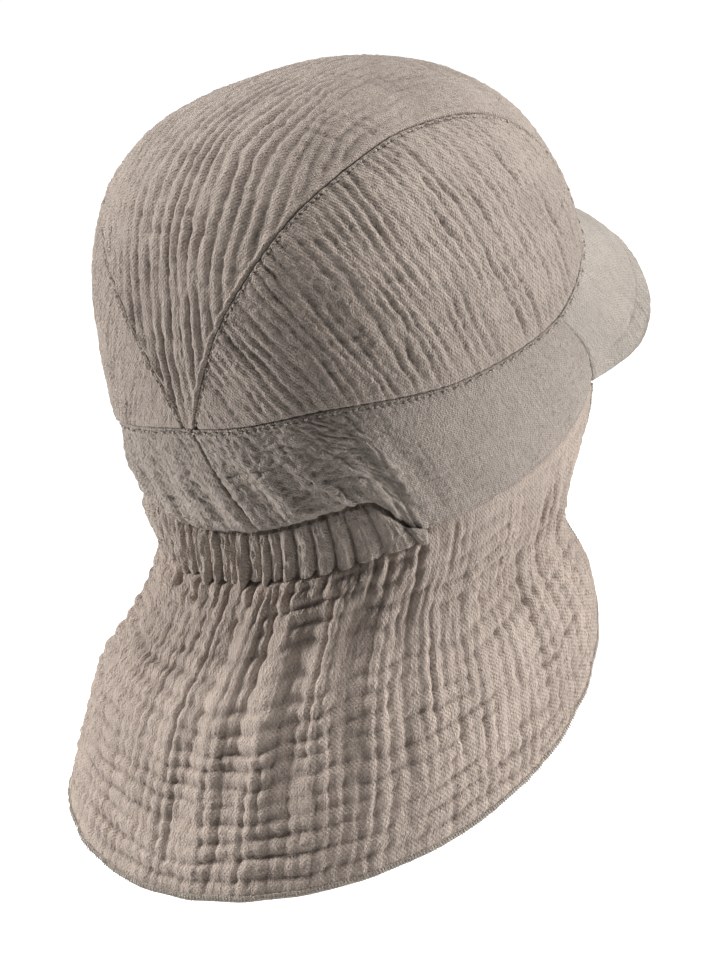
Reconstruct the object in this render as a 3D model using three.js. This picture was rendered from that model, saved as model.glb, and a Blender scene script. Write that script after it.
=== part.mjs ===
// Legionnaire cap for a small child, a soft peaked cap of crinkled cotton with a flap over the neck,
// in the form that it has on a head. Millimetres, Z up. The cap faces -Y and +X is the wearer's left.
// The origin is the middle of the head opening, level with the crown seam at the sides.

import * as THREE from "three";

// Crown: reaches from the axis to the outside of the cloth, and how square its outlines are
const crownHeight = 88;
const crownHalfWidth = 72.5;
const crownFront = 88;
const crownBack = 80;
const foreheadSquareness = 2.5;
const napeSquareness = 2.95;
const frontSquareness = 2.35;
const backSquareness = 2.2;

// Band: the wall under the crown seam, down to the seam of the flap
const bandDepth = 51;
const bandPuff = 1.6;
const bandFolds = 11;
const bandFoldDepth = 0.9;
const bandSeamSlant = 13;

// Peak: how far its tip lies ahead of the crown and below the crown seam
const peakLength = 39;
const peakDrop = 25;
const peakCornerDepth = 33.5;
const peakSquareness = 2.8;
const peakArch = 3.2;
const peakThickness = 4.4;
const peakRimThickness = 2.8;

// Elastic casing at the nape
const casingHeight = 18;
const casingEndTurn = 124;
const casingThickness = 3.2;
const casingPleats = 28;
const casingPleatDepth = 2.2;

// Neck flap and the overlocked edging on its free edge
const flapLength = 94;
const flapSway = 33;
const flapTuck = 1.2;
const flapFoldDepth = 1.5;
const flapFolds = 23;
const edgingWidth = 2.6;
const edgingThickness = 3;
const edgingGap = 0.9;

// Cloth and seams
const clothThickness = 2;
const seamGap = 0.5;

// Turns are degrees from the front of the cap. The crown seam meets the peak between these two
const peakRootTurn = 74;
const peakCornerTurn = 50;
const panelFrontTurn = 43;
const panelTipTurn = 1.2;

// Height of the crown seam: turn against rise, as a share of the seam's arch over the forehead. On
// the left the seam sags towards the nape
const seamArch = 22;
const seamSag = 11;
const seamRise = [
  { turn: 0, rise: 1 },
  { turn: 25, rise: 0.98 },
  { turn: 42, rise: 0.82 },
  { turn: 60, rise: 0.36 },
  { turn: 76, rise: 0 },
  { turn: 110, rise: -0.14 },
  { turn: 142, rise: -0.02 },
  { turn: 165, rise: -0.14 },
  { turn: 180, rise: -0.18 },
];

// Half the angle that the middle panel spans, from the tip at the back (way 0) over to the front
const panelSpread = [
  { way: 0, spread: panelTipTurn },
  { way: 0.07, spread: 7.8 },
  { way: 0.125, spread: 13.5 },
  { way: 0.207, spread: 22.9 },
  { way: 0.278, spread: 29.3 },
  { way: 0.348, spread: 34.4 },
  { way: 0.428, spread: 37.8 },
  { way: 0.58, spread: 40.6 },
  { way: 1, spread: 41.5 },
];

// Sections of band and flap. Level 0 is the crown seam, 1 the flap seam and 2 the lowest hem. The
// reaches are shares of the crown's, and rear and left are shares of the flap's sway off the axis
const sections = [
  { level: 0, width: 1, front: 1, back: 1, rear: 0, left: 0 },
  { level: 0.4, width: 0.97, front: 0.965, back: 0.975, rear: 0, left: 0 },
  { level: 0.75, width: 0.93, front: 0.915, back: 0.93, rear: 0, left: 0 },
  { level: 1, width: 0.9, front: 0.825, back: 0.9, rear: 0.04, left: 0.01 },
  { level: 1.106, width: 0.9, front: 0.765, back: 0.905, rear: 0.15, left: 0.04 },
  { level: 1.255, width: 0.92, front: 0.82, back: 0.91, rear: 0.42, left: 0.12 },
  { level: 1.425, width: 1.035, front: 0.955, back: 1.055, rear: 0.61, left: 0.18 },
  { level: 1.575, width: 1.085, front: 1.005, back: 1.115, rear: 0.71, left: 0.22 },
  { level: 1.85, width: 1.155, front: 1.1, back: 1.205, rear: 0.88, left: 0.3 },
  { level: 2, width: 1.175, front: 1.12, back: 1.225, rear: 1, left: 0.36 },
];

// Turn of the flap's front edges by level
const flapFrontEdge = [
  { level: 0.65, turn: peakCornerTurn },
  { level: 0.9, turn: 47.5 },
  { level: 1.1, turn: 44 },
  { level: 1.24, turn: 42 },
  { level: 1.36, turn: 43 },
  { level: 1.46, turn: 46 },
];

// Drop of the hem below the flap seam as a share of the flap's length, going round from the right
// front edge over the back to the left front edge. The flap hangs a little lower on the right
const hemDrop = [
  { round: peakCornerTurn, drop: 0.48 },
  { round: 54, drop: 0.565 },
  { round: 63, drop: 0.67 },
  { round: 86, drop: 0.865 },
  { round: 108, drop: 0.955 },
  { round: 130, drop: 0.995 },
  { round: 155, drop: 1 },
  { round: 180, drop: 0.975 },
  { round: 200, drop: 0.91 },
  { round: 214, drop: 0.85 },
  { round: 232, drop: 0.8 },
  { round: 270, drop: 0.73 },
  { round: 297, drop: 0.65 },
  { round: 306, drop: 0.565 },
  { round: 360 - peakCornerTurn, drop: 0.48 },
];

// Height of the seam between band and flap: turn against its place between the corners of the peak
// (0) and the foot of the band at the nape (1)
const flapSeamFall = [
  { turn: peakCornerTurn, fall: 0 },
  { turn: 62, fall: 0.22 },
  { turn: 75, fall: 0.5 },
  { turn: 90, fall: 0.7 },
  { turn: 105, fall: 0.8 },
  { turn: 120, fall: 0.85 },
  { turn: 135, fall: 0.93 },
  { turn: 180, fall: 1 },
];

// Edges of the casing above and below the flap seam, as shares of its height. It is cut off slanting
const casingEdges = [
  { turn: 122, above: 0, below: 0 },
  { turn: 126, above: 0.09, below: 0.07 },
  { turn: 130, above: 0.36, below: 0.11 },
  { turn: 134, above: 0.73, below: 0.13 },
  { turn: 138, above: 0.88, below: 0.15 },
  { turn: 152, above: 0.74, below: 0.22 },
  { turn: 168, above: 0.57, below: 0.31 },
  { turn: 180, above: 0.57, below: 0.34 },
];

const degree = Math.PI / 180;

function mix(a, b, share) {
  return a + (b - a) * share;
}

function ease(share) {
  const held = Math.min(1, Math.max(0, share));
  return held * held * (3 - 2 * held);
}

// Smooth value of a table's column at a place along its first column
function read(table, along, name, at) {
  const last = table.length - 1;
  const place = Math.min(table[last][along], Math.max(table[0][along], at));
  let row = 0;
  while (row < last - 1 && place > table[row + 1][along]) row += 1;
  const slopeAt = (i) => {
    const before = table[Math.max(0, i - 1)];
    const after = table[Math.min(last, i + 1)];
    return (after[name] - before[name]) / (after[along] - before[along]);
  };
  const from = table[row];
  const to = table[row + 1];
  const step = to[along] - from[along];
  const f = (place - from[along]) / step;
  const f2 = f * f;
  const f3 = f2 * f;
  return (
    from[name] * (2 * f3 - 3 * f2 + 1) +
    slopeAt(row) * step * (f3 - 2 * f2 + f) +
    to[name] * (3 * f2 - 2 * f3) +
    slopeAt(row + 1) * step * (f3 - f2)
  );
}

// Size of a direction in plan, 1 on the crown's outline as seen from above
function planSize(x, y) {
  const power = y < 0 ? frontSquareness : backSquareness;
  return (Math.abs(x) ** power + Math.abs(y) ** power) ** (1 / power);
}

// Brings a direction, given in the crown's own reaches, onto the crown
function ontoCrown(q) {
  const rearward = (q.y / q.length() + 1) / 2;
  const power = mix(foreheadSquareness, napeSquareness, ease(rearward));
  const size = planSize(q.x, q.y) ** power + Math.abs(q.z) ** power;
  const p = q.clone().multiplyScalar(size ** (-1 / power));
  return new THREE.Vector3(
    p.x * crownHalfWidth,
    p.y * (p.y < 0 ? crownFront : crownBack),
    p.z * crownHeight,
  );
}

function inCrownReaches(p) {
  return new THREE.Vector3(
    p.x / crownHalfWidth,
    p.y / (p.y < 0 ? crownFront : crownBack),
    p.z / crownHeight,
  );
}

function levelOfHeight(z) {
  return z > -bandDepth ? -z / bandDepth : 1 + (-bandDepth - z) / flapLength;
}

// Point of the cap's skin at the crown seam or below, at a turn (right side negative) and a height
function skin(turn, z, outward = 0) {
  const s = Math.sin(turn * degree);
  const c = Math.cos(turn * degree);
  const plan = 1 / planSize(s, -c);
  const rise = Math.max(0, z) / crownHeight;
  const swell = (1 - rise ** foreheadSquareness) ** (1 / foreheadSquareness);
  const level = levelOfHeight(Math.min(0, z));
  const width = read(sections, "level", "width", level) * crownHalfWidth;
  const ahead = read(sections, "level", "front", level) * crownFront;
  const behind = read(sections, "level", "back", level) * crownBack;
  const rear = read(sections, "level", "rear", level) * flapSway;
  const left = read(sections, "level", "left", level) * flapSway;
  return new THREE.Vector3(
    left + (width * swell * plan + outward) * s,
    rear - ((c > 0 ? ahead : behind) * swell * plan + outward) * c,
    z,
  );
}

// Turn away from the front, 0 to 180, the same on both sides
function away(turn) {
  const held = Math.abs(turn) % 360;
  return held > 180 ? 360 - held : held;
}

function seamHeight(turn) {
  const leftward = turn > 180 ? 0 : Math.max(0, (turn - 70) / 110);
  const sag = seamSag * Math.sin(Math.PI * leftward) ** 2;
  return read(seamRise, "turn", "rise", away(turn)) * seamArch - sag;
}

function seamPoint(turn) {
  return skin(turn, seamHeight(turn));
}

// Closed wall under a surface: its outside is at(u, v), its inside lies a thickness further in
function wall(name, colour, columns, rows, at, thickness, back) {
  const positions = [];
  const step = 0.004;
  const outer = [];
  const inner = [];
  for (let i = 0; i <= columns; i += 1) {
    for (let j = 0; j <= rows; j += 1) {
      const u = i / columns;
      const v = j / rows;
      const p = at(u, v);
      const alongU = at(Math.min(1, u + step), v).sub(at(Math.max(0, u - step), v));
      const alongV = at(u, Math.min(1, v + step)).sub(at(u, Math.max(0, v - step)));
      const normal = alongU.cross(alongV).normalize();
      outer.push(p);
      inner.push(back ? back(u, v) : p.clone().addScaledVector(normal, -thickness(u, v)));
    }
  }
  const push = (...points) => points.forEach((p) => positions.push(p.x, p.y, p.z));
  const quad = (a, b, c, d) => {
    push(a, b, c);
    push(a, c, d);
  };
  const index = (i, j) => i * (rows + 1) + j;
  for (let i = 0; i < columns; i += 1) {
    for (let j = 0; j < rows; j += 1) {
      const corners = [index(i, j), index(i + 1, j), index(i + 1, j + 1), index(i, j + 1)];
      quad(...corners.map((k) => outer[k]));
      quad(...corners.reverse().map((k) => inner[k]));
    }
    quad(outer[index(i + 1, 0)], outer[index(i, 0)], inner[index(i, 0)], inner[index(i + 1, 0)]);
    quad(outer[index(i, rows)], outer[index(i + 1, rows)], inner[index(i + 1, rows)], inner[index(i, rows)]);
  }
  for (let j = 0; j < rows; j += 1) {
    quad(outer[index(0, j)], outer[index(0, j + 1)], inner[index(0, j + 1)], inner[index(0, j)]);
    quad(outer[index(columns, j + 1)], outer[index(columns, j)], inner[index(columns, j)], inner[index(columns, j + 1)]);
  }
  const geometry = new THREE.BufferGeometry();
  geometry.setAttribute("position", new THREE.Float32BufferAttribute(positions, 3));
  geometry.computeVertexNormals();
  const material = new THREE.MeshStandardMaterial({ color: colour, roughness: 0.95, metalness: 0 });
  const mesh = new THREE.Mesh(geometry, material);
  mesh.name = name;
  return mesh;
}

const cloth = () => clothThickness;
const gapTurn = seamGap / 2 / crownHalfWidth / degree;

// Width angle and way-over angle of a point of the crown
function crownAngles(p) {
  const q = inCrownReaches(p);
  const over = Math.atan2(q.z, q.y) / degree;
  return {
    spread: Math.atan2(q.x, Math.hypot(q.y, q.z)) / degree,
    over: over < -90 ? over + 360 : over,
  };
}

function crownAt(spread, over) {
  const a = spread * degree;
  const b = over * degree;
  const q = new THREE.Vector3(Math.sin(a), Math.cos(a) * Math.cos(b), Math.cos(a) * Math.sin(b));
  return ontoCrown(q);
}

// Point of the middle panel: way 0 at the tip to 1 at the front, across -1 (right) to 1 (left)
function middlePoint(way, across) {
  const back = crownAngles(seamPoint(180 - panelTipTurn * across));
  const front = crownAngles(seamPoint(panelFrontTurn * across));
  const spread = read(panelSpread, "way", "spread", way) * across;
  const endSpread = read(panelSpread, "way", "spread", 1) * across;
  const settled = spread + (front.spread - endSpread) * way ** 3;
  return crownAt(settled, mix(back.over, front.over, way));
}

function crownMiddlePanel() {
  const ends = seamGap / 2 / (Math.PI * crownHeight);
  const at = (u, v) => {
    const way = mix(ends, 1 - ends, u);
    const reach = Math.abs(middlePoint(way, 1).x);
    return middlePoint(way, mix(-1, 1, v) * (1 - seamGap / 2 / reach));
  };
  return wall("crown_middle_panel", 0xa99d90, 24, 8, at, cloth);
}

// Lens between the panel seam and the crown seam: way from the tip to the front, up from seam to seam
function sidePoint(side, way, up) {
  const low = seamPoint(side * mix(180 - panelTipTurn, panelFrontTurn, way));
  const high = middlePoint(way, side);
  const length = low.distanceTo(high);
  const share = mix(seamGap / 2, length - seamGap / 2, up) / length;
  return ontoCrown(inCrownReaches(low).lerp(inCrownReaches(high), share));
}

function crownSidePanel(name, side) {
  const at = (u, v) => sidePoint(side, mix(0.014, 0.986, u), side > 0 ? 1 - v : v);
  return wall(name, 0xa59a8d, 24, 7, at, cloth);
}

function flapSeamHeight(turn) {
  const fall = read(flapSeamFall, "turn", "fall", away(turn));
  return mix(-peakCornerDepth, -bandDepth, fall);
}

function casingEdge(turn, side) {
  return Math.max(0, read(casingEdges, "turn", side, away(turn))) * casingHeight;
}

// Share that grows from 0 at the sides to 1 at the nape
function nape(turn) {
  return ease((away(turn) - 100) / 40);
}

// Height in the band: down from the crown seam (0) to the casing or the flap seam (1)
function bandHeight(turn, down) {
  const top = seamHeight(turn) - seamGap / 2;
  const foot = flapSeamHeight(turn) + casingEdge(turn, "above") + seamGap / 2;
  return mix(top, foot, down);
}

// Point of a band: way from the middle of the back to the peak
function bandPoint(side, way, down) {
  const back = 180 + side * bandSeamSlant * down - gapTurn;
  const turn = mix(back, mix(peakRootTurn, peakCornerTurn, down) + gapTurn, way);
  const puff = bandPuff * Math.sin(Math.PI * down ** 1.5);
  const fold = bandFoldDepth * Math.sin(2 * Math.PI * bandFolds * way) * Math.sin(Math.PI * down ** 2);
  return skin(side * turn, bandHeight(side * turn, down), nape(turn) * (puff + fold));
}

function band(name, side) {
  const at = (u, v) => bandPoint(side, side > 0 ? 1 - u : u, 1 - v);
  return wall(name, 0x9b9186, 32, 6, at, cloth);
}

// Free edge of the peak, across from its right corner (-1) to its left (1)
function rimPoint(across) {
  const corner = skin(peakCornerTurn, -peakCornerDepth);
  const angle = across * 90 * degree;
  const out = Math.abs(Math.cos(angle)) ** (2 / peakSquareness);
  const aside = Math.sign(across) * Math.abs(Math.sin(angle)) ** (2 / peakSquareness);
  const tipHeight = seamHeight(0) - peakDrop;
  return new THREE.Vector3(
    corner.x * aside,
    mix(corner.y, -crownFront - peakLength, out),
    mix(corner.z, tipHeight, out ** 4),
  );
}

// Point of the peak: across as above, in from the free edge (0) to the crown seam (1)
function peakPoint(across, inward) {
  const arched = (a) => {
    const turn = a * (peakRootTurn - gapTurn);
    const root = skin(turn, seamHeight(turn) - seamGap / 2);
    const lift = peakArch * Math.sin(Math.PI * inward);
    return rimPoint(a).lerp(root, inward).add(new THREE.Vector3(0, 0, lift));
  };
  const side = across < 0 ? -1 : 1;
  const turn = mix(peakCornerTurn, peakRootTurn, inward) - gapTurn;
  const seam = skin(side * turn, bandHeight(side * turn, 1 - inward));
  const hold = Math.abs(across) ** 6;
  return arched(across).lerp(arched(across).add(seam).sub(arched(side)), hold);
}

function peak() {
  const at = (u, v) => peakPoint(mix(-1, 1, u), v);
  const thickness = (u, v) => {
    const middle = ease((1 - Math.abs(mix(-1, 1, u))) / 0.2);
    const full = mix(peakRimThickness, peakThickness, ease(v / 0.2));
    return mix(clothThickness, full, middle);
  };
  return wall("peak", 0xaca399, 28, 7, at, thickness);
}

// Casing at the nape: each pleat is a rounded lobe, the valleys between them are sharp and its back is smooth
function elasticCasing() {
  const place = (u, v, outward) => {
    const round = mix(casingEndTurn, 360 - casingEndTurn, u);
    const above = casingEdge(round, "above") - seamGap / 2;
    const below = casingEdge(round, "below") - seamGap / 2;
    return skin(-round, flapSeamHeight(round) + mix(above, -below, v), outward);
  };
  const at = (u, v) => {
    const bulge = Math.sqrt(Math.sin(Math.PI * mix(0.06, 0.94, v)));
    const lobe = Math.abs(Math.sin(Math.PI * casingPleats * u));
    return place(u, v, bulge * casingPleatDepth * lobe - casingPleatDepth * 0.8);
  };
  const back = (u, v) => place(u, v, -casingThickness);
  return wall("elastic_casing", 0x948a80, casingPleats * 3, 4, at, cloth, back);
}

// Point of the flap: along from its right front edge round to its left, down from seam to hem
function flapPoint(along, down, outward = 0) {
  const round = mix(peakCornerTurn, 360 - peakCornerTurn, along);
  const hemAt = (place) => -bandDepth - read(hemDrop, "round", "drop", place) * flapLength;
  const top = flapSeamHeight(round) - casingEdge(round, "below") - seamGap / 2;
  const edgeHeight = mix(-peakCornerDepth, hemAt(peakCornerTurn), down);
  const edgeTurn = read(flapFrontEdge, "level", "turn", levelOfHeight(edgeHeight));
  const shift = (edgeTurn - peakCornerTurn) * ((1 - along) ** 5 - along ** 5);
  const wave = Math.sin(2 * Math.PI * (flapFolds * along + 0.3 * Math.sin(9 * along)));
  const swing = 0.6 + 0.4 * Math.sin(17 * along + 1);
  const held = ease(down / 0.25) * ease(along / 0.1) * ease((1 - along) / 0.1);
  const folds = flapFoldDepth * wave * swing * held;
  const tuck = -flapTuck * nape(round) * (1 - ease(down / 0.12));
  return skin(-(round + shift), mix(top, hemAt(round), down), outward + folds + tuck);
}

// Distance from an edge of the flap to a point inside it
function clearance(point, edgeFrom, edgeTo) {
  const edge = edgeTo.clone().sub(edgeFrom).normalize();
  const inward = point.clone().sub(edgeFrom);
  return inward.addScaledVector(edge, -inward.dot(edge)).length();
}

// Share of a row that a width from a front edge takes, and share of a column from the hem
function shareAlong(width, end, down) {
  const step = 0.01;
  const inside = flapPoint(end === 0 ? step : 1 - step, down);
  return width * step / clearance(inside, flapPoint(end, down), flapPoint(end, down + step));
}

function shareDown(width, along) {
  const step = 0.05;
  const aside = along < 0.5 ? 0.01 : -0.01;
  const inside = flapPoint(along, 1 - step);
  return width * step / clearance(inside, flapPoint(along, 1), flapPoint(along + aside, 1));
}

const flapColumns = 88;
const flapRows = 9;

function neckFlap() {
  const inset = edgingWidth + edgingGap;
  const between = (u, down) => {
    return mix(shareAlong(inset, 0, down), 1 - shareAlong(inset, 1, down), u);
  };
  const at = (u, v) => {
    const down = v * (1 - shareDown(inset, between(u, v)));
    return flapPoint(between(u, down), down);
  };
  return wall("neck_flap", 0xa2968a, flapColumns, flapRows, at, cloth);
}

// Edging: down the right front edge, along the hem, and up the left front edge, mitred at the corners
function flapEdging() {
  const columns = flapColumns + 2 * flapRows;
  const side = flapRows / columns;
  const at = (u, v) => {
    const width = edgingWidth * (1 - v);
    const outward = (edgingThickness - clothThickness) / 2;
    const corner = u < 0.5 ? shareAlong(width, 0, 1) : 1 - shareAlong(width, 1, 1);
    const lift = 1 - shareDown(width, corner);
    if (u < side) {
      const down = u / side * lift;
      return flapPoint(shareAlong(width, 0, down), down, outward);
    }
    if (u > 1 - side) {
      const down = (1 - u) / side * lift;
      return flapPoint(1 - shareAlong(width, 1, down), down, outward);
    }
    const run = (u - side) / (1 - 2 * side);
    const from = shareAlong(width, 0, lift);
    const to = 1 - shareAlong(width, 1, lift);
    const along = mix(from, to, run);
    return flapPoint(along, 1 - shareDown(width, along), outward);
  };
  return wall("flap_edging", 0xb3a89b, columns, 1, at, () => edgingThickness);
}

const cap = new THREE.Group();
cap.add(crownMiddlePanel());
cap.add(crownSidePanel("crown_side_panel_left", 1));
cap.add(crownSidePanel("crown_side_panel_right", -1));
cap.add(band("band_left", 1));
cap.add(band("band_right", -1));
cap.add(peak());
cap.add(elasticCasing());
cap.add(neckFlap());
cap.add(flapEdging());

export default cap;
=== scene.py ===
import math

import bpy
import numpy as np
from mathutils import Matrix, Vector


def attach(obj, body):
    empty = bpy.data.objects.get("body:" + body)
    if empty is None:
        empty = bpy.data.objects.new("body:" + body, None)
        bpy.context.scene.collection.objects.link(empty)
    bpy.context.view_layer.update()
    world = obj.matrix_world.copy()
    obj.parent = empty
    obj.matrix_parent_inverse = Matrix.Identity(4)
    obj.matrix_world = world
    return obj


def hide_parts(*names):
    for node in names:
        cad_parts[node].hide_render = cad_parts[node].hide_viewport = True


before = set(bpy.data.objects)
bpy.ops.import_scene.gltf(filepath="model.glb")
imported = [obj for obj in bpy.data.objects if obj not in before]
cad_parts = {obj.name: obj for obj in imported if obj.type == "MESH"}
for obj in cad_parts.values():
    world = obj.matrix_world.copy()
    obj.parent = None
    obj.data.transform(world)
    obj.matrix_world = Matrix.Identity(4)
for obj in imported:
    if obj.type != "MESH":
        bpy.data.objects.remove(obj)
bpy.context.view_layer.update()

print("frame loaded:", ", ".join(sorted(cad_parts)))

# Legionnaire cap in metres, Z up. It faces -Y and +X is the wearer's left. Turns are degrees from the front.
mm = 0.001
degree = math.pi / 180


def sized(sizes, **shares):
    # Settings of a piece: sizes given in millimetres, then the values that aren't lengths
    return {**{name: size * mm for name, size in sizes.items()}, **shares}


crown = sized(
    dict(height=88, halfWidth=72.5, front=88, back=80, seamArch=22, seamSag=11, seamGap=0.24),
    foreheadSquareness=2.5,
    napeSquareness=2.95,
    frontSquareness=2.35,
    backSquareness=2.2,
    panelFrontTurn=43,
    panelTipTurn=1.2,
)

# Height of the crown seam by turn, as a share of its arch over the forehead
seamRise = {
    "turn": [0, 25, 42, 60, 76, 110, 142, 165, 180],
    "rise": [1, 0.98, 0.82, 0.36, 0, -0.14, -0.02, -0.14, -0.18],
}

# Half the angle that the middle panel spans, from its tip at the back over to the front
panelSpread = {
    "way": [0, 0.07, 0.125, 0.207, 0.278, 0.348, 0.428, 0.58, 1],
    "spread": [1.2, 7.8, 13.5, 22.9, 29.3, 34.4, 37.8, 40.6, 41.5],
}

band = sized(dict(depth=51, puff=1.6, foldDepth=0.9), folds=11, seamSlant=13)
peak = sized(dict(length=39, drop=25, cornerDepth=33.5, arch=3.2), squareness=2.8, rootTurn=74, cornerTurn=50)
casing = sized(dict(height=18), endTurn=124)
flap = sized(
    dict(length=94, width=420, edgeLength=88, sway=33, tuck=1.2, foldDepth=1.5),
    folds=23,
)

# Sections of band and flap: level 0 is the crown seam, 1 the flap seam and 2 the lowest hem
sections = {
    "level": [0, 0.4, 0.75, 1, 1.106, 1.255, 1.425, 1.575, 1.85, 2],
    "width": [1, 0.97, 0.93, 0.9, 0.9, 0.92, 1.035, 1.085, 1.155, 1.175],
    "front": [1, 0.965, 0.915, 0.825, 0.765, 0.82, 0.955, 1.005, 1.1, 1.12],
    "back": [1, 0.975, 0.93, 0.9, 0.905, 0.91, 1.055, 1.115, 1.205, 1.225],
    "rear": [0, 0, 0, 0.04, 0.15, 0.42, 0.61, 0.71, 0.88, 1],
    "left": [0, 0, 0, 0.01, 0.04, 0.12, 0.18, 0.22, 0.3, 0.36],
}

flapFrontEdge = {
    "level": [0.65, 0.8, 0.95, 1.1, 1.24, 1.36, 1.46],
    "turn": [50, 50, 48.8, 45.5, 42, 43, 46],
}

# Drop of the hem below the flap seam, going round from the right front edge over the back
hemDrop = {
    "round": [50, 54, 63, 86, 108, 130, 155, 180, 200, 214, 232, 270, 297, 306, 310],
    "drop": [0.48, 0.565, 0.67, 0.865, 0.955, 0.995, 1, 0.975, 0.91, 0.85, 0.8, 0.73, 0.65, 0.565, 0.48],
}

flapSeamFall = {
    "turn": [50, 62, 75, 90, 105, 120, 135, 180],
    "fall": [0, 0.22, 0.5, 0.7, 0.8, 0.85, 0.93, 1],
}

casingEdges = {
    "turn": [122, 126, 130, 134, 138, 152, 168, 180],
    "above": [0, 0.09, 0.36, 0.73, 0.88, 0.74, 0.57, 0.57],
    "below": [0, 0.07, 0.11, 0.13, 0.15, 0.22, 0.31, 0.34],
}


def mix(a, b, share):
    return a + (b - a) * share


def ease(share):
    held = np.clip(share, 0, 1)
    return held * held * (3 - 2 * held)


def read(table, along, name, at):
    # Smooth value of a table's column at places along its first column
    x = np.array(table[along], float)
    y = np.array(table[name], float)
    last = len(x) - 1
    at = np.clip(at, x[0], x[-1])
    row = np.clip(np.searchsorted(x, at) - 1, 0, last - 1)
    before = np.maximum(np.arange(last + 1) - 1, 0)
    after = np.minimum(np.arange(last + 1) + 1, last)
    slope = (y[after] - y[before]) / (x[after] - x[before])
    step = x[row + 1] - x[row]
    f = (at - x[row]) / step
    return (
        y[row] * (2 * f**3 - 3 * f**2 + 1)
        + slope[row] * step * (f**3 - 2 * f**2 + f)
        + y[row + 1] * (3 * f**2 - 2 * f**3)
        + slope[row + 1] * step * (f**3 - f**2)
    )


def points(x, y, z):
    return np.stack(np.broadcast_arrays(x, y, z), axis=-1)


def planSize(x, y):
    power = np.where(y < 0, crown["frontSquareness"], crown["backSquareness"])
    return (np.abs(x) ** power + np.abs(y) ** power) ** (1 / power)


def crownReaches(y):
    return np.where(y < 0, crown["front"], crown["back"])


def ontoCrown(q):
    x, y, z = q[..., 0], q[..., 1], q[..., 2]
    rearward = (y / np.linalg.norm(q, axis=-1) + 1) / 2
    power = mix(crown["foreheadSquareness"], crown["napeSquareness"], ease(rearward))
    size = planSize(x, y) ** power + np.abs(z) ** power
    p = q * (size ** (-1 / power))[..., None]
    x, y, z = p[..., 0], p[..., 1], p[..., 2]
    return points(x * crown["halfWidth"], y * crownReaches(y), z * crown["height"])


def inCrownReaches(p):
    x, y, z = p[..., 0], p[..., 1], p[..., 2]
    return points(x / crown["halfWidth"], y / crownReaches(y), z / crown["height"])


def levelOfHeight(z):
    return np.where(z > -band["depth"], -z / band["depth"], 1 + (-band["depth"] - z) / flap["length"])


def skin(turn, z, outward=0.0):
    # Point of the cap's skin at the crown seam or below
    s = np.sin(turn * degree)
    c = np.cos(turn * degree)
    plan = 1 / planSize(s, -c)
    rise = np.maximum(0, z) / crown["height"]
    swell = (1 - rise ** crown["foreheadSquareness"]) ** (1 / crown["foreheadSquareness"])
    level = levelOfHeight(np.minimum(0, z))
    names = ("width", "front", "back", "rear", "left")
    width, front, back, rear, left = (read(sections, "level", name, level) for name in names)
    aside = width * crown["halfWidth"] * swell * plan + outward
    reach = np.where(c > 0, front * crown["front"], back * crown["back"]) * swell * plan + outward
    return points(left * flap["sway"] + aside * s, rear * flap["sway"] - reach * c, z)


def away(turn):
    held = np.abs(turn) % 360
    return np.where(held > 180, 360 - held, held)


def seamHeight(turn):
    leftward = np.where(turn > 180, 0, np.maximum(0, (turn - 70) / 110))
    sag = crown["seamSag"] * np.sin(np.pi * leftward) ** 2
    return read(seamRise, "turn", "rise", away(turn)) * crown["seamArch"] - sag


def seamPoint(turn):
    return skin(turn, seamHeight(turn))


def crownAngles(p):
    q = inCrownReaches(p)
    over = np.arctan2(q[..., 2], q[..., 1]) / degree
    spread = np.arctan2(q[..., 0], np.hypot(q[..., 1], q[..., 2])) / degree
    return spread, np.where(over < -90, over + 360, over)


def crownAt(spread, over):
    a = spread * degree
    b = over * degree
    return ontoCrown(points(np.sin(a), np.cos(a) * np.cos(b), np.cos(a) * np.sin(b)))


def panelAngle(way, across):
    spread = read(panelSpread, "way", "spread", way) * across
    frontSpread, frontOver = crownAngles(seamPoint(crown["panelFrontTurn"] * across))
    return spread + (frontSpread - panelSpread["spread"][-1] * across) * way**3, frontOver


def middlePoint(way, across):
    # Way 0 at the tip at the nape to 1 at the front, across -1 (right) to 1 (left)
    backOver = crownAngles(seamPoint(180 - crown["panelTipTurn"] * across))[1]
    spread, frontOver = panelAngle(way, across)
    return crownAt(spread, mix(backOver, frontOver, way))


def sidePoint(side, way, up):
    low = seamPoint(side * mix(180 - crown["panelTipTurn"], crown["panelFrontTurn"], way))
    high = middlePoint(way, np.full_like(way, side))
    length = np.linalg.norm(high - low, axis=-1)
    share = mix(crown["seamGap"] / 2, length - crown["seamGap"] / 2, up) / length
    return ontoCrown(mix(inCrownReaches(low), inCrownReaches(high), share[..., None]))


def flapSeamHeight(turn):
    return mix(-peak["cornerDepth"], -band["depth"], read(flapSeamFall, "turn", "fall", away(turn)))


def casingEdge(turn, side):
    return np.maximum(0, read(casingEdges, "turn", side, away(turn))) * casing["height"]


def nape(turn):
    return ease((away(turn) - 100) / 40)


def bandHeight(turn, down):
    gap = crown["seamGap"] / 2
    top = seamHeight(turn) - gap
    foot = flapSeamHeight(turn) + casingEdge(turn, "above") + gap
    return mix(top, foot, down)


gapTurn = crown["seamGap"] / 2 / crown["halfWidth"] / degree


def bandPoint(side, way, down):
    back = 180 + side * band["seamSlant"] * down - gapTurn
    turn = mix(back, mix(peak["rootTurn"], peak["cornerTurn"], down) + gapTurn, way)
    puff = band["puff"] * np.sin(np.pi * down**1.5)
    fold = band["foldDepth"] * np.sin(2 * np.pi * band["folds"] * way) * np.sin(np.pi * down**2)
    return skin(side * turn, bandHeight(side * turn, down), nape(turn) * (puff + fold))


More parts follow.
